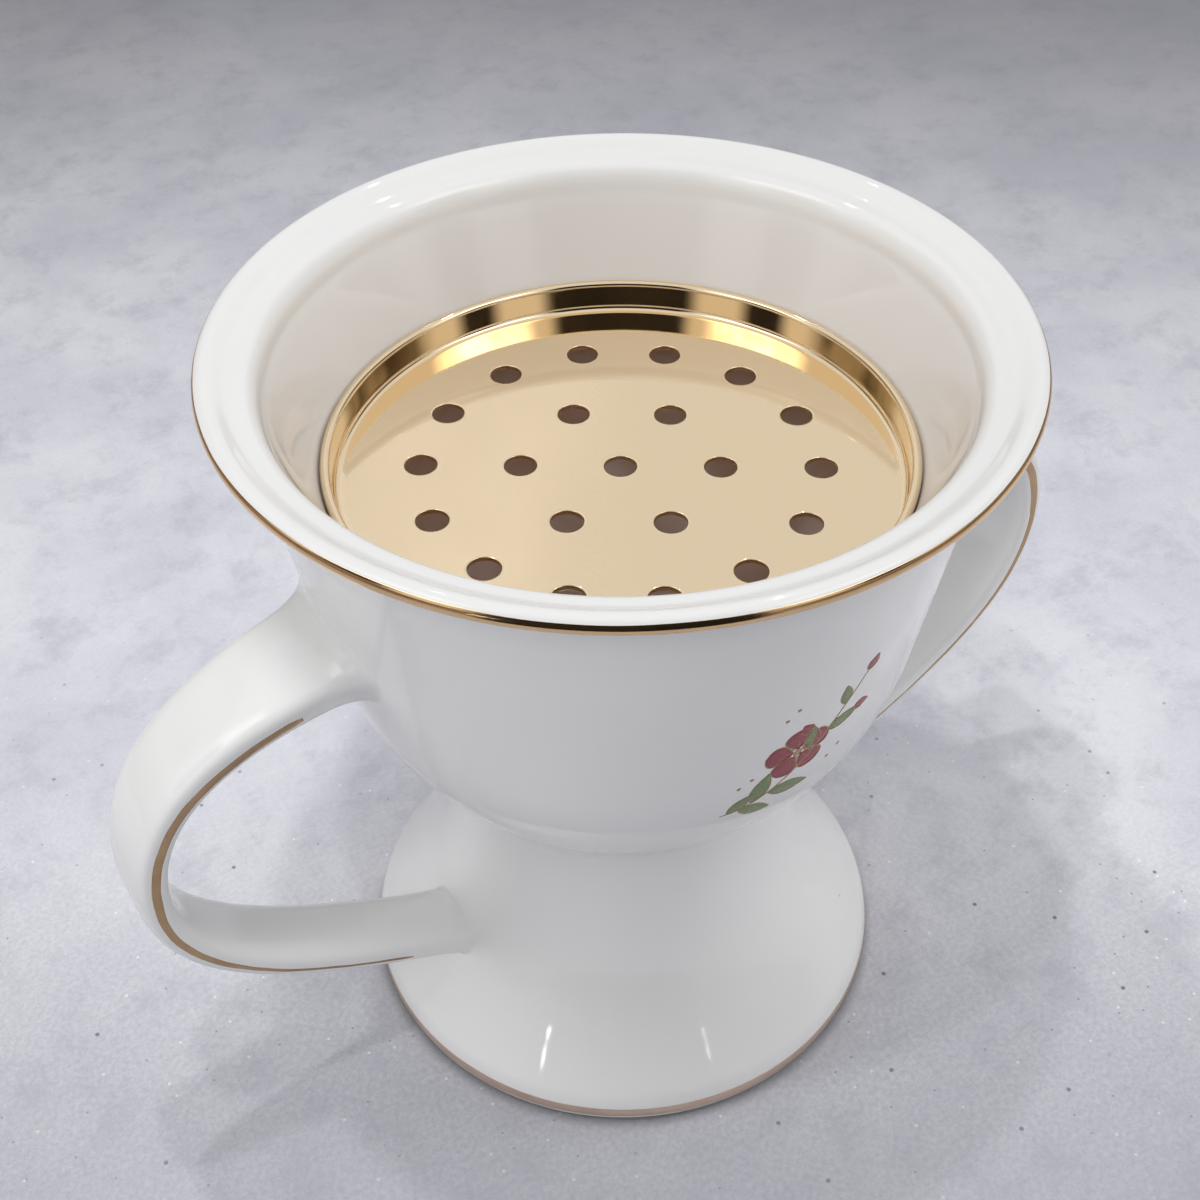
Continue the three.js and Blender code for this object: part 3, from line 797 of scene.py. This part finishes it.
def fill(border):
    """Skin of a patch of enamel, slightly domed and sunk at its border."""
    middle = border.mean(axis=0)
    return skin([on_bowl(middle + size * (border - middle), lift) for size, lift in FILL_SECTION])


def dot(place, radius):
    angle = np.linspace(0, 2 * math.pi, 14, endpoint=False)
    return fill(np.asarray(place) + radius * np.stack([np.cos(angle), np.sin(angle)], -1))


def blade(base, angle, length, width, fullness, bluntness):
    """Two sides and middle line of a leaf or petal; fullness moves its widest place outwards."""
    t = np.linspace(0, 1, 19)
    half = width / 2 * np.abs(np.sin(math.pi * t ** fullness)) ** bluntness
    ahead = direction(angle)
    aside = np.array((-ahead[1], ahead[0]))
    middle = np.asarray(base) + t[:, None] * length * ahead
    return middle + half[:, None] * aside, middle - half[:, None] * aside, middle


def border_of(left, right):
    return np.vstack([left, right[-2:0:-1]])


def sprig():
    """Gold line-work, leaves and blossom of the sprig, each a list of skins."""
    lines, leaves, blossom = [], [], []
    stem = bezier((-10.5, -10.5), (-4, -10), (2, -3), (8.5, 10.5))
    lines.append(stroke(stem, STEM_STROKE))
    heading = np.gradient(stem, axis=0)

    def place_on(share):
        i = int(share * (len(stem) - 1))
        return stem[i], math.atan2(heading[i][1], heading[i][0])

    for share, turn, length, width in LEAVES:
        base, angle = place_on(share)
        left, right, middle = blade(base, angle + math.radians(turn), length, width, 0.85, 0.9)
        leaves.append(fill(border_of(left, right)))
        lines += [stroke(left, EDGE_STROKE), stroke(right, EDGE_STROKE), stroke(middle[:-3], VEIN_STROKE)]
        for rib in (5, 9, 13):
            for edge in (left, right):
                lines.append(stroke((middle[rib - 2], edge[rib] * 0.8 + middle[rib] * 0.2), RIB_STROKE))

    heart = np.array((-0.6, -0.2))
    for i in range(PETALS):
        angle = math.radians(24 + 360 / PETALS * i)
        base = heart + 0.7 * direction(angle)
        left, right, middle = blade(base, angle, 4.3, 4.1, 1.5, 0.55)
        blossom.append(fill(border_of(left, right)))
        lines += [stroke(left, EDGE_STROKE), stroke(right, EDGE_STROKE), stroke(middle[2:11], PETAL_STROKE)]
        lines.append(dot(heart + 1.25 * direction(angle + 0.6), 0.26))
    lines.append(dot(heart, 0.75))

    for share, turn, stalk in BUDS:
        base, angle = place_on(share)
        angle += math.radians(turn)
        tip = base + stalk * direction(angle)
        lines.append(stroke((base, tip), BUD_STROKE))
        left, right, middle = blade(tip, angle, 2.8, 1.9, 0.8, 0.7)
        blossom.append(fill(border_of(left, right)))
        lines += [stroke(left[:12], BUD_STROKE), stroke(right[:12], BUD_STROKE)]
        lines.append(stroke(middle[:12], VEIN_STROKE))

    for place in DOTS:
        lines.append(dot(place, 0.32))
    return lines, leaves, blossom


# Perforated pan

def pan(material):
    """Pan from a turned border and the walls of its holes, with the floor's two faces filled in between."""
    flat_border = PAN_FLAT_RADIUS + PAN_FLAT_BORDER
    floor_radius = PAN_RADIUS - PAN_SHEET - PAN_DRAFT
    hem = (PAN_RADIUS - PAN_SHEET, PAN_RIM_Z - PAN_SHEET)
    under_z = PAN_FLOOR_Z - PAN_SHEET
    inner = (floor_radius - PAN_SHEET, PAN_FLOOR_Z)
    lean = math.atan2(PAN_DRAFT, PAN_RIM_Z - PAN_FLOOR_Z)
    section = np.vstack([
        [(PAN_FLAT_RADIUS, PAN_FLOOR_Z), (flat_border, PAN_FLOOR_Z)],
        rounded((0, PAN_FLOOR_Z), inner, (hem[0] - PAN_SHEET, hem[1]), PAN_CORNER),
        arc(hem, PAN_SHEET, 180 - math.degrees(lean), -90 - math.degrees(lean), 20),
        rounded((hem[0], hem[1] - PAN_SHEET), (floor_radius, under_z), (0, under_z), PAN_CORNER + PAN_SHEET),
        [(flat_border, under_z), (PAN_FLAT_RADIUS, under_z)],
    ])
    points = [spun(r, z) for r, z in section]
    faces = grid_faces(len(section), SIDES)
    count = len(section) * SIDES
    tops = [list(range(SIDES))]
    bottoms = [list(range(count - SIDES, count))]
    bore = [(HOLE_BORDER, 0), (HOLE_EDGE, 0), (HOLE_EDGE * 0.3, -HOLE_EDGE * 0.3), (0, -HOLE_EDGE)]
    bore += [(r, -PAN_SHEET - z) for r, z in reversed(bore)]
    for number, radius in HOLE_RINGS:
        for i in range(number):
            angle = math.radians(PAN_TURN) + 2 * math.pi * i / number
            centre = np.array([radius * math.cos(angle), radius * math.sin(angle), 0])
            rings = [spun(HOLE_RADIUS + r, PAN_FLOOR_Z + z, HOLE_SIDES) + centre for r, z in bore]
            points += rings
            faces += grid_faces(len(rings), HOLE_SIDES, start=count)
            tops.append(list(range(count, count + HOLE_SIDES)))
            count += len(rings) * HOLE_SIDES
            bottoms.append(list(range(count - HOLE_SIDES, count)))
    made = new_object("perforated_pan_polished", np.vstack(points), faces, material)
    work = bmesh.new()
    work.from_mesh(made.data)
    work.verts.ensure_lookup_table()
    for loops in (tops, bottoms):
        border = []
        for loop in loops:
            for a, b in zip(loop, loop[1:] + loop[:1]):
                border.append(work.edges.get((work.verts[a], work.verts[b])))
        bmesh.ops.triangle_fill(work, edges=border, use_beauty=True)
    bmesh.ops.recalc_face_normals(work, faces=work.faces)
    work.to_mesh(made.data)
    work.free()
    made.data.shade_smooth()
    return made


# The cup

glaze = porcelain()
rim_gold = gilt("fired_gilt", (0.92, 0.64, 0.36), (0.78, 0.52, 0.28), 0.06, 0.15)
# Darker than the rim's gold, partly as thinner gold and partly as painted shade for the shaded floor that
# these lines reflect
shaded_line_gold = gilt("fired_gilt_thin_shaded", (0.60, 0.41, 0.24), (0.40, 0.26, 0.14), 0.14, 0.28)
foot_gold = gilt("fired_gilt_pale", (0.92, 0.72, 0.58), (0.76, 0.57, 0.45), 0.30, 0.45)
body = turned("glazed_body", thinned(outline, 0.004), glaze)
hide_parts("bowl", "pedestal_foot")
pieces = [(body, "cup", "porcelain")]

for side, turn in (("right", 0), ("left", math.pi)):
    handle = strap_handle(f"{side}_handle_glazed", turn, glaze)
    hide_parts(f"{side}_handle")
    pieces.append((handle, "cup", "porcelain"))
    for edge, way in (("front", -1), ("back", 1)):
        way = way if turn == 0 else -way
        line = painted_line(f"{side}_handle_{edge}_gilt", way, turn, shaded_line_gold)
        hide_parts(f"{side}_handle_{edge}_line")
        pieces.append((line, "cup", "gilt"))

lip_centre = (LIP_RADIUS - LIP_EDGE, HEIGHT - LIP_EDGE)
edge_at = np.degrees(np.arctan2(outline[:, 1] - lip_centre[1], outline[:, 0] - lip_centre[0]))
beyond = outline[:, 0] > lip_centre[0]
rim = painted_ring("rim_gilt", run_at(beyond & (edge_at > RIM_GILT[0])),
                   run_at(beyond & (edge_at > RIM_GILT[1])), 0.4, rim_gold)
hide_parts("rim_gilt_band")
pieces.append((rim, "cup", "gilt"))
on_foot = outline[:, 0] > FOOT_RADIUS - FOOT_TUCK
foot = painted_ring("foot_gilt", run_at(on_foot & (outline[:, 1] > FOOT_GILT[0])),
                    run_at(on_foot & (outline[:, 1] > FOOT_GILT[1])), 1.9, foot_gold)
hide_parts("foot_gilt_band")
pieces.append((foot, "cup", "gilt"))

dish = pan(polished_gold())
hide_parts("perforated_pan")
pieces.append((dish, "pan", "pan_gold"))

sprig_lines, sprig_leaves, sprig_blossom = sprig()
leaf_green = enamel("leaf_enamel", (0.20, 0.30, 0.12), (0.11, 0.19, 0.07))
blossom_red = enamel("blossom_enamel", (0.36, 0.05, 0.07), (0.22, 0.025, 0.04))
pieces.append((joined("ornament_gilt_lines", sprig_lines, shaded_line_gold), "cup", "gilt"))
pieces.append((joined("ornament_leaves", sprig_leaves, leaf_green), "cup", None))
pieces.append((joined("ornament_blossom", sprig_blossom, blossom_red), "cup", None))

for piece, rides_on, slot in pieces:
    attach(piece, rides_on)


# Stage

def plane(name, corners, material):
    mesh = bpy.data.meshes.new(name)
    mesh.from_pydata(corners, [], [tuple(range(len(corners)))])
    mesh.materials.append(material)
    made = bpy.data.objects.new(name, mesh)
    bpy.context.scene.collection.objects.link(made)
    return made


FLOOR_REACH = 2.0
CUP_MIDDLE = (0, 0, 0.06)
corners = [(x * FLOOR_REACH, y * FLOOR_REACH, 0) for x, y in ((-1, -1), (1, -1), (1, 1), (-1, 1))]
floor = plane("floor", corners, floor_stone())


def aimed(name, light, place, towards):
    made = bpy.data.objects.new(name, light)
    made.location = place
    made.rotation_euler = (Vector(towards) - Vector(place)).to_track_quat("-Z", "Y").to_euler()
    bpy.context.scene.collection.objects.link(made)
    return made


def area_light(name, place, size, power, towards=CUP_MIDDLE, colour=(1, 1, 1)):
    light = bpy.data.lights.new(name, "AREA")
    light.shape = "DISK"
    light.size = size
    light.energy = power
    light.color = colour
    return aimed(name, light, place, towards)


def spot_light(name, place, power, radius, cone):
    light = bpy.data.lights.new(name, "SPOT")
    light.energy = power
    light.shadow_soft_size = radius
    light.spot_size = math.radians(cone)
    light.spot_blend = 1
    return aimed(name, light, place, CUP_MIDDLE)


def around(azimuth, distance, height):
    """Place at an azimuth in degrees counted from the camera's own side of the cup."""
    angle = math.radians(CAMERA_AZIMUTH + azimuth)
    return distance * math.cos(angle), distance * math.sin(angle), height


PANEL_FADE = 0.15  # share of a card's height over which it fades at its top and foot


def panel(name, first, last, distance, low, high, fade, material, steps=40, rows=12):
    """Upright card bent round the cup, fading out at its borders; only reflections show it."""
    turns = np.linspace(first, last, steps + 1)
    heights = np.linspace(low, high, rows + 1)
    mesh = bpy.data.meshes.new(name)
    mesh.from_pydata([around(t, distance, z) for z in heights for t in turns], [],
                     grid_faces(rows + 1, steps + 1, wrap_columns=False))
    veil = mesh.attributes.new("veil", "FLOAT", "POINT")
    near_end = np.minimum(turns - first, last - turns) / fade
    near_top = (high - heights) / (PANEL_FADE * (high - low))
    near_foot = np.where(low > 0, (heights - low) / (PANEL_FADE * (high - low)), 1)
    share = np.minimum(near_end[None, :], np.minimum(near_top, near_foot)[:, None]).clip(0, 1)
    veil.data.foreach_set("value", (share * share * (3 - 2 * share)).ravel())
    mesh.materials.append(material)
    made = bpy.data.objects.new(name, mesh)
    bpy.context.scene.collection.objects.link(made)
    made.visible_camera = False
    made.visible_diffuse = False
    made.visible_shadow = False
    made.visible_transmission = False


def card_of(name, dark, light, glow=0.0):
    material, nodes, links, shade = shader(name)
    cloud = ranged(nodes, links, noise(nodes, links, place_of(nodes), 9, 2), 0.35, 0.65, 0, 1, True)
    colour = blended(nodes, links, cloud, dark, light)
    links.new(colour, shade.inputs["Base Color"])
    links.new(colour, shade.inputs["Emission Color"])
    shade.inputs["Emission Strength"].default_value = glow
    shade.inputs["Roughness"].default_value = 0.9
    veil = nodes.new("ShaderNodeAttribute")
    veil.attribute_name = "veil"
    links.new(veil.outputs["Fac"], shade.inputs["Alpha"])
    return material


card = card_of("black_card", (0.010, 0.009, 0.008), (0.030, 0.024, 0.018))
brown_card = card_of("brown_card", (0.34, 0.27, 0.20), (0.50, 0.41, 0.31))
olive_card = card_of("olive_card", (0.10, 0.075, 0.045), (0.55, 0.48, 0.36))
sky_card = card_of("sky_card", (0.90, 0.90, 0.90), (1.0, 1.0, 1.0), 0.25)
glow_card = card_of("glow_card", (0.70, 0.64, 0.54), (1.0, 0.98, 0.95), 3.0)
panel("card_middle", -36, 36, 0.235, 0, 0.50, 9, card)
panel("card_left", -76, -48, 0.30, 0.15, 0.36, 9, card)
panel("card_right", 48, 74, 0.30, 0.15, 0.36, 9, card)
panel("card_far_left", -150, -80, 0.34, 0.15, 0.38, 14, olive_card)
panel("card_far_right", 80, 150, 0.34, 0.15, 0.38, 14, olive_card)
panel("glow_left", -95, -37, 0.40, 0.40, 0.80, 14, glow_card)
panel("glow_right", 37, 95, 0.40, 0.40, 0.80, 14, glow_card)
panel("sky_left", -182, -158, 0.40, 0.28, 0.68, 10, sky_card)
panel("low_card", -200, 200, 0.45, 0, 0.20, 1, brown_card)


def reach(lamp, thing, state):
    """Let a lamp reach one thing alone ("INCLUDE") or everything but that thing ("EXCLUDE")."""
    group = bpy.data.collections.new(lamp.name + "_reach")
    group.objects.link(thing)
    group.collection_objects[0].light_linking.link_state = state
    lamp.light_linking.receiver_collection = group


# Hard lamps draw the cup's shadows on the floor, a wide one lights the cup itself from the same side
FLOOR_LAMPS = (
    ("floor_lamp", (-0.034, 0.003, 0.541), 1.5),
    ("front_lamp", (-0.116, -0.073, 0.541), 1.3),
    ("rear_lamp", (-0.047, 0.114, 0.541), 1.7),
)
FLOOR_LAMP_RADIUS = 0.010
FLOOR_LAMP_CONE = 100
KEY_SIZE = 0.36
POINT_SIZE = 0.009
lamps = []
for name, place, power in FLOOR_LAMPS:
    lamp = spot_light(name, place, power, FLOOR_LAMP_RADIUS, FLOOR_LAMP_CONE)
    reach(lamp, floor, "INCLUDE")
    lamps.append(lamp)
overhead = spot_light("overhead_lamp", (-0.11, -0.04, 0.75), 7.0, 0.10, 60)
reach(overhead, floor, "EXCLUDE")
lamps.append(overhead)
# Wide lamps: azimuth, distance, height and power
KEYS = (
    ("left_key", -75, 0.75, 0.20, 1.05),
    ("right_key", 105, 0.75, 0.22, 1.9),
    ("front_fill", -5, 0.52, 0.72, 1.3),
)
for name, azimuth, distance, height, power in KEYS:
    lamps.append(area_light(name, around(azimuth, distance, height), KEY_SIZE, power))
for lamp in lamps:
    lamp.visible_glossy = False
    lamp.visible_camera = False
# Small bare lamps that show as points of light on the foot and along the lip
POINTS = (
    ("left_lamp", around(-30.4, 0.5, 0.103), 0.045),
    ("right_lamp", around(33.4, 0.5, 0.103), 0.03),
    ("lip_lamp_left", (0.252, 0.200, 0.62), 0.05),
    ("lip_lamp_right", (0.057, 0.322, 0.62), 0.05),
)
for name, place, power in POINTS:
    area_light(name, place, POINT_SIZE, power).visible_camera = False
# Faint warm lamp for the light that the gold throws into the chamber
chamber = area_light("chamber_lamp", (0, 0, 0.094), 0.05, 0.0012, (0, 0, 0), (1.0, 0.42, 0.20))
chamber.visible_camera = False
chamber.visible_glossy = False

WORLD_LEVELS = (0.37, 0.80)  # as light, and as seen by the camera and in reflections
world = bpy.data.worlds.new("studio")
bpy.context.scene.world = world
world.use_nodes = True
w_nodes, w_links = world.node_tree.nodes, world.node_tree.links
w_nodes["Background"].inputs["Color"].default_value = (0.97, 0.98, 1.0, 1)
rays = w_nodes.new("ShaderNodeLightPath")
mirrored = w_nodes.new("ShaderNodeMath")
mirrored.operation = "MAXIMUM"
w_links.new(rays.outputs["Is Camera Ray"], mirrored.inputs[0])
w_links.new(rays.outputs["Is Glossy Ray"], mirrored.inputs[1])
level = w_nodes.new("ShaderNodeMapRange")
level.inputs["To Min"].default_value = WORLD_LEVELS[0]
level.inputs["To Max"].default_value = WORLD_LEVELS[1]
w_links.new(mirrored.outputs[0], level.inputs["Value"])
w_links.new(level.outputs["Result"], w_nodes["Background"].inputs["Strength"])

camera_data = bpy.data.cameras.new("camera")
camera_data.lens = CAMERA_LENS
camera_data.sensor_width = SENSOR
camera_data.clip_start = 0.01
camera = bpy.data.objects.new("camera", camera_data)
bpy.context.scene.collection.objects.link(camera)
forward = Vector(CAMERA_FORWARD).normalized()
level_right = forward.cross((0, 0, 1)).normalized()
level_up = level_right.cross(forward)
roll = math.radians(CAMERA_ROLL)
right = math.cos(roll) * level_right + math.sin(roll) * level_up
up = math.cos(roll) * level_up - math.sin(roll) * level_right
look = Matrix((right, up, -forward)).transposed().to_4x4()
camera.matrix_world = Matrix.Translation(Vector(CAMERA_PLACE) * MM) @ look
bpy.context.scene.camera = camera
bpy.context.scene.view_settings.view_transform = "Standard"
